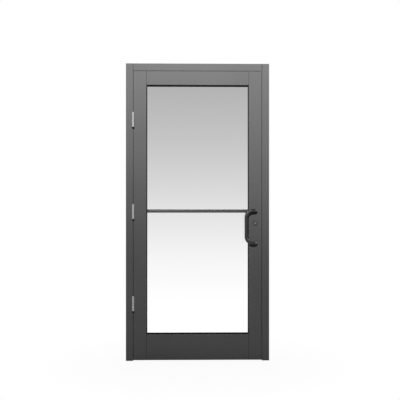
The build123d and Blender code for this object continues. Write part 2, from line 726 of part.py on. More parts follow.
def edge_pile():
    """Pile strips in the leaf's edges, broken at the hinges on the hinge side."""
    y0, y1 = FRONT + PILE_INSET, FRONT + PILE_INSET + PILE_WIDTH
    root, tip = LEAF_X - PILE_GROOVE, JAMB_X - PILE_CLEARANCE
    crown = LEAF_TOP - PILE_GROOVE
    strips = [block(root, tip, y0, y1, LEAF_BOTTOM, crown)]
    half = HINGE_HEIGHT / 2
    stops = [crown] + [z for height in HINGE_HEIGHTS for z in (height + half, height - half)] + [LEAF_BOTTOM]
    strips += [block(-tip, -root, y0, y1, low, high) for high, low in zip(stops[0::2], stops[1::2])]
    strips.append(block(-tip, tip, y0, y1, crown, HEADER_Z - PILE_CLEARANCE))
    return Compound(strips)


def sweep_carrier():
    """Flanged channel on the leaf's push side that holds the brush."""
    face, low = LEAF_BACK, SWEEP_LOW
    outline = Polyline((face, low), (face + SWEEP_DEPTH, low), (face + SWEEP_DEPTH, low + SWEEP_CHANNEL),
                       (face + SWEEP_FLANGE, low + SWEEP_CHANNEL), (face + SWEEP_FLANGE, low + SWEEP_HEIGHT),
                       (face, low + SWEEP_HEIGHT), close=True)
    half = SWEEP_SLOT_WIDTH / 2
    slot = rect(SWEEP_Y - half, SWEEP_Y + half, low - OVERRUN, low + SWEEP_SLOT_DEPTH)
    carrier = level(make_face(outline) - slot, -SWEEP_X, SWEEP_X)
    for x, z in sweep_screw_places():
        carrier -= round_y(SCREW_RADIUS + RUNNING_FIT, face - OVERRUN, face + SWEEP_FLANGE + OVERRUN, x, z)
    return carrier


def sweep_screw_places():
    """The X and Z of the screws through the carrier's flange into the bottom rail."""
    return [(share * SWEEP_X, SWEEP_LOW + SWEEP_SCREW_RISE) for share in SWEEP_SCREW_SHARES]


def sweep_brush():
    half = SWEEP_SLOT_WIDTH / 2 - RUNNING_FIT
    return block(-SWEEP_X, SWEEP_X, SWEEP_Y - half, SWEEP_Y + half, THRESHOLD_HEIGHT + SWEEP_CLEARANCE,
                 SWEEP_LOW + SWEEP_SLOT_DEPTH)


# Hinges

def knuckle_spans(odd):
    """Height ranges, about the hinge's middle, of the knuckles that belong to one leaf."""
    step = HINGE_HEIGHT / KNUCKLE_COUNT
    low = -HINGE_HEIGHT / 2
    return [(low + i * step, low + (i + 1) * step) for i in range(KNUCKLE_COUNT) if i % 2 == odd]


def hinge_screw_places():
    return [(FRONT + depth * HINGE_PLATE_DEPTH, height * HINGE_HEIGHT)
            for height, depth in zip(HINGE_SCREW_HEIGHT_SHARES, HINGE_SCREW_DEPTH_SHARES)]


def hinge_leaf(side, wall, odd, height):
    """One hinge leaf: a plate sunk flush in its member's edge, and its knuckles round the pin."""
    inner = AXIS_X + side * EDGE_GAP / 2
    x0, x1 = sorted((inner, inner + side * wall))
    half = HINGE_HEIGHT / 2 - SEAT_FIT
    leaf = block(x0, x1, AXIS_Y, FRONT + HINGE_PLATE_DEPTH - SEAT_FIT, -half, half)
    for low, high in knuckle_spans(1 - odd):
        leaf -= round_z(KNUCKLE_RADIUS + KNUCKLE_CLEARANCE, low - KNUCKLE_PLAY / 2, high + KNUCKLE_PLAY / 2,
                        AXIS_X, AXIS_Y)
    for low, high in knuckle_spans(odd):
        leaf += round_z(KNUCKLE_RADIUS, low + KNUCKLE_PLAY / 2, high - KNUCKLE_PLAY / 2, AXIS_X, AXIS_Y)
    leaf -= round_z(PIN_RADIUS + RUNNING_FIT, -HINGE_HEIGHT, HINGE_HEIGHT, AXIS_X, AXIS_Y)
    for y, z in hinge_screw_places():
        leaf -= aimed_x(screw_hole(wall + OVERRUN), inner, y, z, side)
    return Pos(0, 0, height) * leaf


def frame_hinge_leaf(height):
    return hinge_leaf(-1, FRAME_WALL, 0, height)


def door_hinge_leaf(height):
    return hinge_leaf(1, LEAF_WALL, 1, height)


def hinge_pin(height):
    """Pin with a rounded button at each end."""
    half = HINGE_HEIGHT / 2
    button = Cylinder(TIP_RADIUS, TIP_HEIGHT)
    button = fillet(button.edges().sort_by(Axis.Z)[-1], radius=TIP_ROUND)
    lift = Pos(AXIS_X, AXIS_Y, half + TIP_HEIGHT / 2) * button
    pin = round_z(PIN_RADIUS, -half, half, AXIS_X, AXIS_Y) + lift + mirror(lift, about=Plane.XY)
    return Pos(0, 0, height) * pin


def hinge_screws(side, wall):
    inner = AXIS_X + side * EDGE_GAP / 2
    length = wall + BACKING_THICKNESS + SCREW_GRIP
    return Compound([aimed_x(flat_screw(length), inner, y, height + z, side)
                     for height in HINGE_HEIGHTS for y, z in hinge_screw_places()])


def frame_hinge_screws():
    return hinge_screws(-1, FRAME_WALL)


def leaf_screws():
    """Screws of the hinge plates on the leaf, and of the sweep's carrier on the bottom rail."""
    screw = Rot(90, 0, 0) * pan_screw(SWEEP_FLANGE + LEAF_WALL + SCREW_GRIP)
    screws = [Pos(x, LEAF_BACK + SWEEP_FLANGE, z) * screw for x, z in sweep_screw_places()]
    return Compound(hinge_screws(1, LEAF_WALL).solids() + screws)


def backing_plates(side, wall, depth):
    """Tapped steel plates inside a member, behind its hinge leaves."""
    seat = AXIS_X + side * (EDGE_GAP / 2 + wall)
    x0, x1 = sorted((seat, seat + side * BACKING_THICKNESS))
    half = HINGE_HEIGHT / 2 + BACKING_MARGIN
    plates = []
    for height in HINGE_HEIGHTS:
        plate = block(x0, x1, FRONT + wall, FRONT + wall + depth, height - half, height + half)
        for y, z in hinge_screw_places():
            plate -= round_x(SCREW_RADIUS + RUNNING_FIT, x0 - OVERRUN, x1 + OVERRUN, y, height + z)
        plates.append(plate)
    return Compound(plates)


def jamb_hinge_plates():
    return backing_plates(-1, FRAME_WALL, FRAME_DEPTH / 2)


def stile_hinge_plates():
    return backing_plates(1, LEAF_WALL, LEAF_THICKNESS - 2 * LEAF_WALL - SLIP_FIT)


# Lock

def faceplate_screw_heights():
    return [LOCK_HEIGHT + share * FACEPLATE_HEIGHT for share in FACEPLATE_SCREW_SHARES]


def lock_case():
    """Pressed steel box behind the stile's edge, with openings for the cylinders, the pin and the bolt."""
    x0, x1 = LOCK_X - CASE_BACKSET, LEAF_X - LEAF_WALL
    y0, y1 = LEAF_MIDDLE - CASE_THICKNESS / 2, LEAF_MIDDLE + CASE_THICKNESS / 2
    z0, z1 = LOCK_HEIGHT - CASE_HEIGHT / 2, LOCK_HEIGHT + CASE_HEIGHT / 2
    case = block(x0, x1, y0, y1, z0, z1)
    case -= block(x0 + CASE_WALL, x1 - CASE_WALL, y0 + CASE_WALL, y1 - CASE_WALL, z0 + CASE_WALL,
                  z1 - CASE_WALL)
    case -= strike_slot(x1 - CASE_WALL - OVERRUN, x1 + OVERRUN)
    case -= round_y(CYLINDER_RADIUS + RUNNING_FIT, y0 - OVERRUN, y1 + OVERRUN, LOCK_X, LOCK_HEIGHT)
    case -= round_y(BOLT_PIN_RADIUS + RUNNING_FIT, y0 - OVERRUN, y1 + OVERRUN, BOLT_X, BOLT_Z)
    inner = x1 - CASE_WALL - OVERRUN
    for height in faceplate_screw_heights():
        case -= round_x(SCREW_RADIUS + RUNNING_FIT, inner, x1 + OVERRUN, LEAF_MIDDLE, height)
    return case


def slotted_plate(x0, x1, middle, height, screws, head_x, side):
    """Thin rounded plate with the bolt's slot and two countersunk holes."""
    outline = Pos(LEAF_MIDDLE, middle) * RectangleRounded(FACEPLATE_WIDTH, height, FACEPLATE_THICKNESS)
    plate = level(outline, x0, x1) - strike_slot(x0 - OVERRUN, x1 + OVERRUN)
    for z in screws:
        plate -= aimed_x(screw_hole(FACEPLATE_THICKNESS + OVERRUN), head_x, LEAF_MIDDLE, z, side)
    return plate


def lock_faceplate():
    return slotted_plate(LEAF_X - FACEPLATE_THICKNESS, LEAF_X, LOCK_HEIGHT, FACEPLATE_HEIGHT,
                         faceplate_screw_heights(), LEAF_X, -1)


def strike_plate():
    return slotted_plate(JAMB_X, JAMB_X + FACEPLATE_THICKNESS, slot_centre(), STRIKE_HEIGHT,
                         strike_screw_heights(), JAMB_X, 1)


def lock_screws():
    screw = flat_screw(LEAF_WALL + CASE_WALL + SCREW_GRIP)
    return Compound([aimed_x(screw, LEAF_X, LEAF_MIDDLE, z, -1) for z in faceplate_screw_heights()])


def strike_screws():
    screw = flat_screw(FRAME_WALL + SCREW_GRIP)
    return Compound([aimed_x(screw, JAMB_X, LEAF_MIDDLE, z, 1) for z in strike_screw_heights()])


def outward(shape, side):
    """A lock piece drawn along Y from the leaf's middle plane, set on the pull or the push side."""
    place = Pos(LOCK_X, LEAF_MIDDLE, LOCK_HEIGHT)
    return place * (shape if side > 0 else mirror(shape, about=Plane.XZ))


def cylinder_body(side):
    """Mortise cylinder shell from the case's middle out to its head on the collar."""
    face = LEAF_THICKNESS / 2 + COLLAR_HEIGHT
    body = round_y(CYLINDER_RADIUS, CAM_SPACE, face, 0, 0)
    body += round_y(CYLINDER_HEAD_RADIUS, face, face + CYLINDER_HEAD, 0, 0)
    return outward(body - round_y(PLUG_RADIUS + RUNNING_FIT, 0, face + CYLINDER_HEAD + OVERRUN, 0, 0), side)


def cylinder_collar(side):
    """Tapered ring between the stile's face and the cylinder's head."""
    face = LEAF_THICKNESS / 2
    tip = COLLAR_RADIUS - COLLAR_TAPER
    bore = CYLINDER_RADIUS + SLIP_FIT
    outline = Polyline((bore, face), (COLLAR_RADIUS, face), (COLLAR_RADIUS, face + COLLAR_HEIGHT / 2),
                       (tip, face + COLLAR_HEIGHT), (bore, face + COLLAR_HEIGHT), close=True)
    return outward(revolve(make_face(outline), axis=Axis.Y), side)


def key_cylinder_body():
    return cylinder_body(-1)


def turn_cylinder_body():
    return cylinder_body(1)


def cylinder_collars():
    return Compound([cylinder_collar(-1), cylinder_collar(1)])


def cam():
    """Disc with a lobe, on the inner end of a plug."""
    lobe = rect(-CAM_RADIUS / 2, CAM_RADIUS / 2, -CAM_REACH, 0)
    flat = Circle(CAM_RADIUS) + lobe
    solid = extrude(Plane.XZ * flat, amount=CAM_THICKNESS, dir=(0, 1, 0))
    return Pos(0, CAM_SPACE - RUNNING_FIT - CAM_THICKNESS, 0) * solid


def key_plug():
    face = LEAF_THICKNESS / 2 + COLLAR_HEIGHT + CYLINDER_HEAD
    plug = round_y(PLUG_RADIUS, CAM_SPACE - RUNNING_FIT, face, 0, 0) + cam()
    half, tall = KEYWAY_WIDTH / 2, KEYWAY_HEIGHT / 2
    return outward(plug - block(-half, half, face - KEYWAY_DEPTH, face + OVERRUN, -tall, tall), -1)


def thumbturn():
    """Turn piece: a waisted grip on a round neck, with the plug and cam behind it."""
    face = LEAF_THICKNESS / 2 + COLLAR_HEIGHT + CYLINDER_HEAD
    plug = round_y(PLUG_RADIUS, CAM_SPACE - RUNNING_FIT, face + TURN_NECK, 0, 0) + cam()
    outline = SlotOverall(TURN_LENGTH, TURN_WIDTH, rotation=90)
    grip = extrude(Plane.XZ * outline, amount=TURN_HEIGHT, dir=(0, 1, 0))
    grip = fillet(grip.faces().sort_by(Axis.Y)[-1].edges(), radius=TURN_WIDTH / 5)
    return outward(plug + Pos(0, face + TURN_NECK, 0) * grip, 1)


def bolt_pin():
    half = CASE_THICKNESS / 2
    return round_y(BOLT_PIN_RADIUS, LEAF_MIDDLE - half, LEAF_MIDDLE + half, BOLT_X, BOLT_Z)


def swing_bolt():
    """Flat bolt that hangs from its pin and swings out level, rounded at both ends."""
    reach = BOLT_LENGTH - BOLT_HALF_WIDTH
    body = rect(-BOLT_HALF_WIDTH, BOLT_HALF_WIDTH, -reach, 0)
    flat = body + Circle(BOLT_HALF_WIDTH) + Pos(0, -reach) * Circle(BOLT_HALF_WIDTH)
    flat -= Circle(BOLT_PIN_RADIUS + RUNNING_FIT)
    bolt = extrude(Plane.XZ * flat, amount=BOLT_THICKNESS / 2, both=True)
    return Pos(BOLT_X, LEAF_MIDDLE, BOLT_Z) * bolt


# Pull handle and push bar

def bent_bar(radius, points, bends):
    """Round bar swept along straight runs and tangent bends."""
    path = FilletPolyline(*points, radius=bends)
    start = Plane(origin=path @ 0, z_dir=path % 0)
    return sweep(start * Circle(radius), path=path)


def stud_hole(x, face, side, height):
    """Tapped hole in a bar's foot."""
    y0, y1 = sorted((face - side * OVERRUN, face + side * (STUD_ENGAGEMENT + RUNNING_FIT)))
    return round_y(STUD_RADIUS + RUNNING_FIT, y0, y1, x, height)


def pull_handle():
    """Offset pull: each end leaves the stile square, bends across towards the glass, then into the grip."""
    out = FRONT - PULL_PROJECTION
    grip = LOCK_X - PULL_OFFSET
    top, low = PULL_HEIGHTS
    points = [(LOCK_X, FRONT, top), (LOCK_X, out, top), (grip, out, top),
              (grip, out, low), (LOCK_X, out, low), (LOCK_X, FRONT, low)]
    bar = bent_bar(PULL_RADIUS, points, [PULL_FOOT_BEND, PULL_GRIP_BEND, PULL_GRIP_BEND, PULL_FOOT_BEND])
    for height in PULL_HEIGHTS:
        bar -= stud_hole(LOCK_X, FRONT, -1, height)
    return bar


def push_bar():
    """Straight bar across the push side, with both ends bent square into the stiles."""
    out = LEAF_BACK + PUSH_PROJECTION
    turns = ((-1, LEAF_BACK), (-1, out), (1, out), (1, LEAF_BACK))
    points = [(side * LOCK_X, y, PULL_TOP_HEIGHT) for side, y in turns]
    bar = bent_bar(PUSH_RADIUS, points, [PUSH_BEND, PUSH_BEND])
    for side in (-1, 1):
        bar -= stud_hole(side * LOCK_X, LEAF_BACK, 1, PULL_TOP_HEIGHT)
    return bar


def handle_studs():
    """Through stud of pull and push bar, lower pull bolt, and the push bar's stud on the hinge stile."""
    top, low = PULL_HEIGHTS
    through = round_y(STUD_RADIUS, FRONT - STUD_ENGAGEMENT, LEAF_BACK + STUD_ENGAGEMENT, LOCK_X, top)
    bolt = round_y(STUD_RADIUS, FRONT - STUD_ENGAGEMENT, LEAF_BACK, LOCK_X, low)
    head = fillet(Cylinder(STUD_HEAD_RADIUS, STUD_HEAD_HEIGHT).edges().sort_by(Axis.Z)[-1],
                  radius=STUD_HEAD_HEIGHT / 2)
    socket = extrude(RegularPolygon(SOCKET_ACROSS / 2, 6, major_radius=False), amount=SOCKET_DEPTH)
    head -= Pos(0, 0, STUD_HEAD_HEIGHT / 2 - SOCKET_DEPTH) * socket
    bolt += Pos(LOCK_X, LEAF_BACK + STUD_HEAD_HEIGHT / 2, low) * Rot(-90, 0, 0) * head
    seat = LEAF_BACK - LEAF_WALL
    stud = round_y(STUD_RADIUS, seat - STUD_NUT_HEIGHT, LEAF_BACK + STUD_ENGAGEMENT, -LOCK_X, top)
    stud += round_y(STUD_NUT_RADIUS, seat - STUD_NUT_HEIGHT, seat, -LOCK_X, top)
    return Compound([through, bolt, stud])


HINGE_NAMES = ("upper", "middle", "lower")
PIECES = [strike_jamb, hinge_jamb, frame_header, threshold, threshold_screws, header_clips,
          header_clip_screws, strike_jamb_stop, hinge_jamb_stop, header_stop, strike_jamb_seal,
          hinge_jamb_seal, header_seal, strike_plate, strike_screws, frame_hinge_screws, jamb_hinge_plates,
          hinge_stile, lock_stile, top_rail, bottom_rail, corner_blocks, top_tie_rod, bottom_tie_rod,
          tie_rod_nuts, glass_pane, setting_blocks, front_gaskets, rear_gaskets, lock_side_bead,
          hinge_side_bead, top_bead, bottom_bead, edge_pile, sweep_carrier, sweep_brush, leaf_screws,
          stile_hinge_plates, lock_case, lock_faceplate, lock_screws, bolt_pin, swing_bolt,
          key_cylinder_body, turn_cylinder_body, cylinder_collars, key_plug, thumbturn, pull_handle,
          push_bar, handle_studs]


def main():
    os.makedirs("parts", exist_ok=True)
    solids = {piece.__name__: piece() for piece in PIECES}
    for name, height in zip(HINGE_NAMES, HINGE_HEIGHTS):
        solids[f"{name}_hinge_frame_leaf"] = frame_hinge_leaf(height)
        solids[f"{name}_hinge_door_leaf"] = door_hinge_leaf(height)
        solids[f"{name}_hinge_pin"] = hinge_pin(height)
    for name, solid in solids.items():
        export_step(solid, f"parts/{name}.step")


main()
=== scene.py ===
import bmesh
import bpy
import json
import math
import random
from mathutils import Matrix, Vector


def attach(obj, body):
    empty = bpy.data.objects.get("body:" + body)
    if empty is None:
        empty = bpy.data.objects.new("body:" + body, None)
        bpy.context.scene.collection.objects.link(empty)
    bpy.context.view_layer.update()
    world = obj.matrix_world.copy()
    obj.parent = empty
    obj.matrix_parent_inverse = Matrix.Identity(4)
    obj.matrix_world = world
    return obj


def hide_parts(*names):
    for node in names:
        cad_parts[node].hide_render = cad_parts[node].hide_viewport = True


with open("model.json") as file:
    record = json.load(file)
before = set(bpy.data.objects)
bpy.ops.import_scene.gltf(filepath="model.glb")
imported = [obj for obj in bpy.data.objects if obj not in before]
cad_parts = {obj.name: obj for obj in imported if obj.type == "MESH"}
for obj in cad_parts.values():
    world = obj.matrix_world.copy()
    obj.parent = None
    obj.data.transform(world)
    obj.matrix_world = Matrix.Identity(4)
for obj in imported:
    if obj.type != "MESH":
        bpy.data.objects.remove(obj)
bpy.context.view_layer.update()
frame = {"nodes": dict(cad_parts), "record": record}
nodes = frame["nodes"]

# Lengths are in metres, angles in degrees and powers in watts, unless a comment says otherwise.

# Faces of the door: the front that leaf and frame share, and the back of each
FRONT_FACE = -0.05715
LEAF_BACK = -0.0127
FRAME_BACK = 0.05715

# Camera, as the photograph's framing needs it: the aim is the X and Z of the picture's middle on the
# front face, where the view has the stated width. Lens and sensor are in millimetres.
CAMERA_DISTANCE = 4.6
CAMERA_HEIGHT = 1.0
CAMERA_TURN = 0.95
CAMERA_LENS = 58.4
CAMERA_SENSOR = 36.0
CAMERA_FAR = 200.0
CAMERA_AIM = (0.0167, 1.1392)
VIEW_WIDTH = 2.84

# Lamps: two spots at one far place, with aim, cone and power, and three panels with place, aim and size
SPOT_PLACE = (-1.4, -10.0, 4.2)
SPOT_RADIUS = 0.12
SPOTS = {
    "key_lamp": ((0.285, 0.0, 5.02), 50.7, 9000),
    "wide_lamp": ((-0.03, 0.0, 1.41), 23.1, 1860),
}
PANEL_POWER = 60
PANELS = {
    "back_lamp": ((0, 2.4, 2.9), (0, 0, 1.1), (1.6, 0.8)),
    "left_lamp": ((-3.0, 0.7, 2.2), (0, 0.4, 1.0), (1.0, 1.0)),
    "right_lamp": ((3.0, 0.7, 2.2), (0, 0.4, 1.0), (1.0, 1.0)),
}
WORLD_FILL = 0.04

# Floor: a disc a hair below the door, its own tone, and the share of plain white in its look, which
# rises from WHITE_NEAR at FLOOR_NEAR from the middle to all of it at FLOOR_FAR
FLOOR_RADIUS = 40.0
FLOOR_SIDES = 96
FLOOR_DROP = 0.0005
FLOOR_TONE = 0.45
FLOOR_ROUGHNESS = 0.9
FLOOR_NEAR, FLOOR_FAR = 0.45, 1.2
WHITE_NEAR = 0.95
WHITE = (1, 1, 1, 1)

# Tufts of the brush and the pile: pitches, and shares of a tuft's own width and height
BRUSH_PITCH = 0.0022
PILE_PITCH = 0.0036
TUFT_TAPER = 0.62
TUFT_LEAN = 0.3
TUFT_SHORTEST = 0.86
LEAF_MIDDLE = 1.0
MERGE_DISTANCE = 1e-6

# Sealant pressed out of the butt joints, partly real sealant and partly painted shadow in the joints:
# its section, and each joint's X, face, low end and high end
LEAF_SEALANT_WIDTH = 0.0018
FRAME_SEALANT_WIDTH = 0.0026
SEALANT_RISE = 0.00012
SEALANT_TONGUE = 0.00022
SEALANT_DEPTH = 0.0015
LEAF_JOINTS = [
    (0.36285, FRONT_FACE, 0.0055, 0.1865),
    (0.36285, FRONT_FACE, 1.955, 2.0515),
    (0.37885, LEAF_BACK, 0.041, 0.1705),
    (0.37885, LEAF_BACK, 1.971, 2.0515),
]
FRAME_JOINTS = [
    (0.45705, FRONT_FACE, 2.0552, 2.106),
    (0.45705, FRAME_BACK, 2.0552, 2.106),
]

# Dark cups under the hinge barrels, painted shadow below each barrel: the pin line, the barrels' lower
# ends, and the cup's section
PIN_X, PIN_Y = -0.4556, -0.06465
BARREL_ENDS = (1.6562, 1.0052, 0.3542)
CUP_RADIUS = 0.0069
CUP_BORE = 0.0066
CUP_HEIGHT = 0.0125
CUP_BORE_DEPTH = 0.0032
CUP_BEVEL = 0.0016
CUP_GAP = 0.0002
CUP_SIDES = 40

# Surfaces: how far tone and roughness swing about their middle, and the height of the bumps
COAT_SHADE = 0.08
COAT_ROUGHNESS_SWING = 0.015
COAT_BUMP = 0.0004
METAL_ROUGHNESS_SWING = 0.08
METAL_BUMP = 0.0002
METAL_GRAIN = 0.12
RUBBER_TONES = (0.003, 0.008)
RUBBER_ROUGHNESS = (0.62, 0.82)
RUBBER_SHINE = 0.04
RUBBER_BUMP = 0.0003
RUBBER_GRAIN = 0.35
FIBRE_SHADES = (0.5, 1.4)
FIBRE_ROUGHNESS = (0.8, 0.95)
FIBRE_SHINE = 0.1
FIBRE_SHEEN = 0.3
FIBRE_BUMP = 0.0004
FIBRE_GRAIN = 0.5

# The key plug's face: its middle, its radius, how much brighter it is than the cylinder around it, and
# the shares of the radius between which that fades
PLUG_PLACE = (0.4085, -0.062, 0.974)
PLUG_RADIUS = 0.0066
PLUG_GAIN = 3.0
PLUG_FADE = (0.9, 1.05)

# Glass: the share of light thrown back where it is met squarely, how fast that rises to the side, and
# its painted shade, a grey that is darker towards the top, at shares of the height between two levels
GLASS_GLOSS = 0.034
GLASS_GLOSS_POWER = 5.0
GLASS_ROUGHNESS = 0.02
GLASS_LEVELS = (0.17, 1.96)
GLASS_PAINTED_SHADE = [(0.14, 1.0), (0.30, 0.958), (0.46, 0.890), (0.62, 0.810), (0.78, 0.737), (1.0, 0.655)]


# Materials

class Nodes:
    """The node tree of a material or a world, with short ways to add nodes and links."""

    def __init__(self, owner):
        owner.use_nodes = True
        self.owner = owner
        self.tree = owner.node_tree
        self.shader = self.tree.nodes.get("Principled BSDF")

    def feed(self, socket, value):
        """Links a socket to a node's output, or gives it a plain value."""
        if isinstance(value, bpy.types.NodeSocket):
            self.tree.links.new(value, socket)
        else:
            socket.default_value = value

    def add(self, kind, inputs=None, **settings):
        node = self.tree.nodes.new("ShaderNode" + kind)
        for key, value in settings.items():
            setattr(node, key, value)
        for key, value in (inputs or {}).items():
            self.feed(node.inputs[key], value)
        return node

    def sum(self, first, second, clamp=False):
        node = self.add("Math", {0: first, 1: second}, operation="ADD", use_clamp=clamp)
        return node.outputs[0]

    def product(self, first, second):
        return self.add("Math", {0: first, 1: second}, operation="MULTIPLY").outputs[0]

    def mean(self, first, second):
        return self.product(self.sum(first, second), 0.5)

    def place(self, scale=(1, 1, 1)):
        """Object coordinates, in metres, stretched by a scale."""
        coords = self.add("TexCoord").outputs["Object"]
        return self.add("Mapping", {"Vector": coords, "Scale": scale}).outputs["Vector"]

    def noise(self, scale, detail, stretch=(1, 1, 1), rough=0.5):
        """A cloudy pattern, whose scale is in repeats per metre."""
        inputs = {"Vector": self.place(stretch), "Scale": scale, "Detail": detail, "Roughness": rough}
        return self.add("TexNoise", inputs).outputs["Fac"]

    def between(self, fac, low, high, spread=(0.3, 0.7)):
        """A number that runs from low to high with the pattern."""
        inputs = {"Value": fac, "From Min": spread[0], "From Max": spread[1],
                  "To Min": low, "To Max": high}
        return self.add("MapRange", inputs).outputs["Result"]

    def ramp(self, fac, stops):
        """A colour that runs through the stops, each of them a place and a colour."""
        node = self.add("ValToRGB", {"Fac": fac})
        while len(node.color_ramp.elements) < len(stops):
            node.color_ramp.elements.new(0.5)
        for element, (place, colour) in zip(node.color_ramp.elements, stops):
            element.position = place
            element.color = (*colour, 1)
        return node.outputs["Color"]

    def bump(self, height, strength, distance):
        inputs = {"Height": height, "Strength": strength, "Distance": distance}
        return self.add("Bump", inputs).outputs["Normal"]

    def set(self, **values):
        """Feeds the main shader's inputs, with an underscore for each space in an input's name."""
        for key, value in values.items():
            self.feed(self.shader.inputs[key.replace("_", " ")], value)
        return self.owner


def new_material(name):
    return Nodes(bpy.data.materials.new(name))


def grey(value, warm=0.0):
    return (value * (1 + warm), value, value * (1 - warm))


def coated(name, tone, rough, shine, grain):
    """Powder coat: a fine leathery skin, slight cloudiness, and gloss that varies over the surface."""
    look = new_material(name)
    cloud = look.noise(scale=2.3, detail=4.0)
    speck = look.noise(scale=1400.0, detail=2.0)
    skin = look.noise(scale=650.0, detail=3.0)
    gloss = look.noise(scale=38.0, detail=5.0)
    stops = [(0.34, grey(tone * (1 - COAT_SHADE))), (0.66, grey(tone * (1 + COAT_SHADE)))]
    swing = COAT_ROUGHNESS_SWING
    return look.set(Base_Color=look.ramp(look.mean(cloud, speck), stops),
                    Roughness=look.between(gloss, rough - swing, rough + swing),
                    Specular_IOR_Level=shine,
                    Normal=look.bump(skin, grain, COAT_BUMP))


def brushed(name, tone, rough, stretch, warm=0.0, shade=0.12, bright=None):
    """Bare metal with fine lines along one direction and faint handling marks.

    A bright spot has a place, a radius and a gain.
    """
    look = new_material(name)
    lines = look.noise(scale=1.0, detail=3.0, stretch=stretch, rough=0.6)
    smear = look.noise(scale=24.0, detail=4.0)
    both = look.mean(lines, smear)
    stops = [(0.3, grey(tone * (1 - shade), warm)), (0.7, grey(tone * (1 + shade), warm))]
    colour = look.ramp(both, stops)
    if bright:
        place, radius, gain = bright
        far = look.add("VectorMath", {0: look.place(), 1: place}, operation="DISTANCE").outputs["Value"]
        share = look.between(far, gain, 1.0, [radius * edge for edge in PLUG_FADE])
        scaled = look.add("VectorMath", {0: colour, "Scale": share}, operation="SCALE")
        colour = scaled.outputs["Vector"]
    swing = METAL_ROUGHNESS_SWING
    return look.set(Base_Color=colour,
                    Metallic=1.0,
                    Roughness=look.between(both, rough - swing, rough + swing),
                    Normal=look.bump(lines, METAL_GRAIN, METAL_BUMP))


def rubber(name):
    """Matt black rubber with a little dust."""
    look = new_material(name)
    skin = look.noise(scale=900.0, detail=4.0)
    dust = look.noise(scale=45.0, detail=5.0)
    clean, dusty = RUBBER_TONES
    return look.set(Base_Color=look.ramp(dust, [(0.35, grey(clean)), (0.75, grey(dusty))]),
                    Roughness=look.between(skin, *RUBBER_ROUGHNESS),
                    Specular_IOR_Level=RUBBER_SHINE,
                    Normal=look.bump(skin, RUBBER_GRAIN, RUBBER_BUMP))


def fibres(name, tone):
    """Soft strands that vary in tone."""
    look = new_material(name)
    strand = look.noise(scale=1.0, detail=4.0, stretch=(2600, 2600, 260))
    dark, light = FIBRE_SHADES
    return look.set(Base_Color=look.ramp(strand, [(0.3, grey(tone * dark)), (0.7, grey(tone * light))]),
                    Roughness=look.between(strand, *FIBRE_ROUGHNESS),
                    Specular_IOR_Level=FIBRE_SHINE,
                    Sheen_Weight=FIBRE_SHEEN,
                    Normal=look.bump(strand, FIBRE_GRAIN, FIBRE_BUMP))


def glass(name):
    """Clear pane with painted shade: a grey that darkens it towards the top and fades out towards the
    bottom rail.
    """
    look = new_material(name)
    coords = look.add("TexCoord").outputs["Object"]
    height = look.add("SeparateXYZ", {0: coords}).outputs["Z"]
    # Painted shade: the pane turns greyer towards its top
    share = look.between(height, 0.0, 1.0, GLASS_LEVELS)
    painted_shade = look.ramp(share, [(place, grey(tone)) for place, tone in GLASS_PAINTED_SHADE])
    through = look.add("BsdfTransparent", {"Color": painted_shade}).outputs[0]
    gloss = look.add("BsdfGlossy", {"Color": WHITE, "Roughness": GLASS_ROUGHNESS}).outputs[0]
    facing = look.add("LayerWeight", {"Blend": 0.5}).outputs["Facing"]
    steep = look.add("Math", {0: facing, 1: GLASS_GLOSS_POWER}, operation="POWER").outputs[0]
    thrown = look.between(steep, GLASS_GLOSS, 1.0, (0.0, 1.0))
    mixed = look.add("MixShader", {0: thrown, 1: through, 2: gloss}).outputs[0]
    look.feed(look.tree.nodes["Material Output"].inputs["Surface"], mixed)
    look.tree.nodes.remove(look.shader)
    return look.owner


looks = {
    "coated_aluminium": coated("dark_grey_coat", tone=0.130, rough=0.74, shine=0.04, grain=0.15),
    "mill_aluminium": brushed("mill_aluminium", tone=0.42, rough=0.5, stretch=(60, 60, 900)),
    "glass": glass("glass_with_painted_shade"),
    "black_rubber": rubber("black_rubber"),
    "grey_pile": fibres("grey_pile", tone=0.06),
    "satin_steel": brushed("satin_steel", tone=0.355, rough=0.78, stretch=(90, 90, 1500), shade=0.07),
    "plated_steel": brushed("plated_steel", tone=0.50, rough=0.34, stretch=(700, 700, 700), warm=0.02),
    "black_handle": coated("black_bar_coat", tone=0.008, rough=0.30, shine=0.38, grain=0.12),
    "lock_cylinder": brushed("lock_trim", tone=0.05, rough=0.34, stretch=(900, 90, 900),
                             bright=(PLUG_PLACE, PLUG_RADIUS, PLUG_GAIN)),
}
for row in frame["record"]["subparts"]:
    data = nodes[row["node"]].data
    data.materials.clear()
    data.materials.append(looks[row["material_slot"]])


# Objects

def add_object(name, data):
    made = bpy.data.objects.new(name, data)
    bpy.context.scene.collection.objects.link(made)
    return made


def add_mesh(name, mesh, material):
    """Turns an edited mesh into an object with one material."""
    data = bpy.data.meshes.new(name)
    mesh.to_mesh(data)
    mesh.free()
    data.materials.append(material)
    return add_object(name, data)


def close_rings(mesh, low, high):
    """Joins two rings of vertices by sides, and closes both ends."""
    for i in range(len(low)):
        j = (i + 1) % len(low)
        mesh.faces.new((low[i], low[j], high[j], high[i]))
    mesh.faces.new(low[::-1])
    mesh.faces.new(high)


# Brush and pile

def islands(node):
    """The box of each separate strip of a node, as low and high corners, in order of place."""
    mesh = bmesh.new()
    mesh.from_mesh(nodes[node].data)
    mesh.transform(nodes[node].matrix_world)
    bmesh.ops.remove_doubles(mesh, verts=mesh.verts, dist=MERGE_DISTANCE)
    loose = set(mesh.faces)
    boxes = []
    while loose:
        ahead = [loose.pop()]
        found = []
        while ahead:
            face = ahead.pop()
            found += [vert.co.copy() for vert in face.verts]
            inner = [edge for edge in face.edges if len(edge.link_faces) == 2]
            near = {other for edge in inner for other in edge.link_faces} & loose
            loose -= near
            ahead += near
        boxes.append([Vector(pick(p[i] for p in found) for i in range(3)) for pick in (min, max)])
    mesh.free()
    return sorted(boxes, key=lambda box: tuple(box[0]))


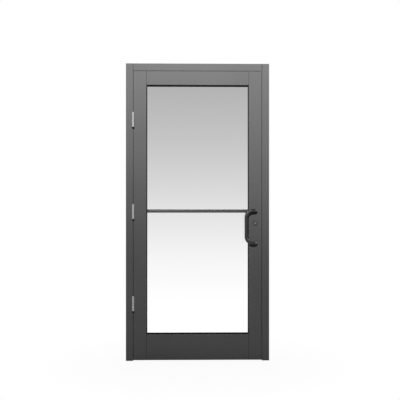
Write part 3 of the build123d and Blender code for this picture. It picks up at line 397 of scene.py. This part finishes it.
def tuft(mesh, base, out, along, across, lean):
    """A bundle of fibres with four sides, which tapers and leans a little towards its tip."""
    corners = ((-1, -1), (1, -1), (1, 1), (-1, 1))
    tip = base + out
    low = [mesh.verts.new(base + a * along + b * across) for a, b in corners]
    high = [mesh.verts.new(tip + (a * TUFT_TAPER + lean) * along + b * TUFT_TAPER * across)
            for a, b in corners]
    close_rings(mesh, low, high)
    faces = {face for vert in low + high for face in vert.link_faces}
    bmesh.ops.recalc_face_normals(mesh, faces=list(faces))


def fringe(node, pitch, rows):
    """Rows of tufts in place of a node's plain strips, pointing away from the middle of the leaf."""
    chance = random.Random(node)
    mesh = bmesh.new()
    for low, high in islands(node):
        size, middle = high - low, (low + high) / 2
        if size.z > size.x:
            run = Vector((0, 0, 1))
            away = Vector((math.copysign(1, middle.x), 0, 0))
        else:
            run = Vector((1, 0, 0))
            away = Vector((0, 0, math.copysign(1, middle.z - LEAF_MIDDLE)))
        length, rise = abs(size.dot(run)), abs(size.dot(away))
        count = max(1, round(length / pitch))
        along = run * length / count / 2
        across = Vector((0, size.y / rows / 2, 0))
        for row in range(rows):
            shift = Vector((0, (row + 0.5) * size.y / rows - size.y / 2, 0))
            for step in range(count):
                way = run * ((step + 0.5) / count - 0.5) * length
                base = middle + way + shift - away * rise / 2
                out = away * rise * chance.uniform(TUFT_SHORTEST, 1.0)
                lean = chance.uniform(-TUFT_LEAN, TUFT_LEAN)
                tuft(mesh, base, out, along, across, lean)
    piece = add_mesh(node + "_tufts", mesh, looks["grey_pile"])
    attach(piece, "leaf")
    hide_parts(node)


fringe("sweep_brush", BRUSH_PITCH, 2)
fringe("edge_pile", PILE_PITCH, 1)


# Hinge cups of painted shadow, and joint lines of sealant and painted shadow

def hinge_painted_shadow_cups():
    """A turned cup around each pin's lower tip, as wide as the barrel above it, dark as painted shadow
    below the barrel.
    """
    mesh = bmesh.new()
    section = [(0, -CUP_HEIGHT), (CUP_RADIUS - CUP_BEVEL, -CUP_HEIGHT),
               (CUP_RADIUS, CUP_BEVEL - CUP_HEIGHT), (CUP_RADIUS, -CUP_GAP),
               (CUP_BORE, -CUP_GAP), (CUP_BORE, -CUP_BORE_DEPTH), (0, -CUP_BORE_DEPTH)]
    turns = [2 * math.pi * i / CUP_SIDES for i in range(CUP_SIDES)]
    for end in BARREL_ENDS:
        rings = []
        for radius, z in section:
            places = [(PIN_X + radius * math.cos(turn), PIN_Y + radius * math.sin(turn), end + z)
                      for turn in (turns if radius else turns[:1])]
            rings.append([mesh.verts.new(place) for place in places])
        for low, high in zip(rings, rings[1:]):
            for i in range(CUP_SIDES):
                j = (i + 1) % CUP_SIDES
                corners = [low[i % len(low)], low[j % len(low)],
                           high[j % len(high)], high[i % len(high)]]
                mesh.faces.new(list(dict.fromkeys(corners)))
    bmesh.ops.recalc_face_normals(mesh, faces=mesh.faces)
    piece = add_mesh("hinge_painted_shadow_cups", mesh, looks["black_rubber"])
    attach(piece, "frame")


def sealant_and_shadow(body, joints, width):
    """Thin dark beads of sealant and painted shadow in the butt joints, a hair proud of the face, left
    and right of the middle.
    """
    mesh = bmesh.new()
    wide, thin = width / 2, SEALANT_TONGUE / 2
    for x, face, low, high in joints:
        out = 1 if face > FRONT_FACE else -1
        deep, proud = face - out * SEALANT_DEPTH, face + out * SEALANT_RISE
        section = [(-thin, deep), (thin, deep), (thin, face), (wide, face),
                   (wide, proud), (-wide, proud), (-wide, face), (-thin, face)]
        for side in (-x, x):
            bottom = [mesh.verts.new((side + dx, y, low)) for dx, y in section]
            top = [mesh.verts.new((side + dx, y, high)) for dx, y in section]
            close_rings(mesh, bottom, top)
    bmesh.ops.recalc_face_normals(mesh, faces=mesh.faces)
    piece = add_mesh(body + "_sealant", mesh, looks["black_rubber"])
    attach(piece, body)


# Painted shadow: dark cups under the hinge barrels
hinge_painted_shadow_cups()
# Dark joint beads: partly sealant, partly painted shadow in the joints
sealant_and_shadow("leaf", LEAF_JOINTS, LEAF_SEALANT_WIDTH)
sealant_and_shadow("frame", FRAME_JOINTS, FRAME_SEALANT_WIDTH)


# Floor, lamps, world and camera

def show_white(look, output, kind, shaded, share):
    """Mixes plain white into a surface for the rays that show the background."""
    paths = look.add("LightPath").outputs
    seen = look.sum(paths["Is Camera Ray"], paths["Is Glossy Ray"], clamp=True)
    seen = look.sum(seen, paths["Is Transmission Ray"], clamp=True)
    white = look.add(kind, {"Color": WHITE, "Strength": 1.0}).outputs[0]
    mixed = look.add("MixShader", {0: look.product(seen, share), 1: shaded, 2: white}).outputs[0]
    look.feed(look.tree.nodes[output].inputs["Surface"], mixed)


def make_floor():
    look = new_material("pale_floor")
    look.set(Base_Color=(*grey(FLOOR_TONE), 1), Roughness=FLOOR_ROUGHNESS, Specular_IOR_Level=0.0)
    away = look.add("VectorMath", {0: look.place()}, operation="LENGTH").outputs["Value"]
    share = look.between(away, WHITE_NEAR, 1.0, (FLOOR_NEAR, FLOOR_FAR))
    show_white(look, "Material Output", "Emission", look.shader.outputs[0], share)
    mesh = bmesh.new()
    bmesh.ops.create_circle(mesh, cap_ends=True, segments=FLOOR_SIDES, radius=FLOOR_RADIUS)
    floor = add_mesh("floor", mesh, look.owner)
    floor.location.z = -FLOOR_DROP


def make_lamp(name, kind, place, aim, watts):
    light = bpy.data.lights.new(name, kind)
    light.energy = watts
    lamp = add_object(name, light)
    lamp.location = place
    lamp.rotation_euler = (Vector(aim) - Vector(place)).to_track_quat("-Z", "Y").to_euler()
    return light


def make_lamps():
    for name, (aim, cone, watts) in SPOTS.items():
        light = make_lamp(name, "SPOT", SPOT_PLACE, aim, watts)
        light.spot_size = math.radians(cone)
        light.spot_blend = 1.0
        light.shadow_soft_size = SPOT_RADIUS
    for name, (place, aim, size) in PANELS.items():
        light = make_lamp(name, "AREA", place, aim, PANEL_POWER)
        light.shape = "RECTANGLE"
        light.size, light.size_y = size


def make_world():
    world = bpy.data.worlds.new("studio")
    bpy.context.scene.world = world
    look = Nodes(world)
    base = look.tree.nodes["Background"]
    look.feed(base.inputs["Color"], WHITE)
    look.feed(base.inputs["Strength"], WORLD_FILL)
    show_white(look, "World Output", "Background", base.outputs[0], 1.0)


def make_camera():
    data = bpy.data.cameras.new("camera")
    data.sensor_width = CAMERA_SENSOR
    data.lens = CAMERA_LENS
    data.clip_end = CAMERA_FAR
    data.shift_x = CAMERA_AIM[0] / VIEW_WIDTH
    data.shift_y = (CAMERA_AIM[1] - CAMERA_HEIGHT) / VIEW_WIDTH
    turn = math.radians(CAMERA_TURN)
    camera = add_object("camera", data)
    camera.location = (-math.sin(turn) * CAMERA_DISTANCE,
                       FRONT_FACE - math.cos(turn) * CAMERA_DISTANCE, CAMERA_HEIGHT)
    camera.rotation_euler = (math.pi / 2, 0, -turn)
    bpy.context.scene.camera = camera


make_floor()
make_lamps()
make_world()
make_camera()
bpy.context.scene.view_settings.view_transform = "Standard"
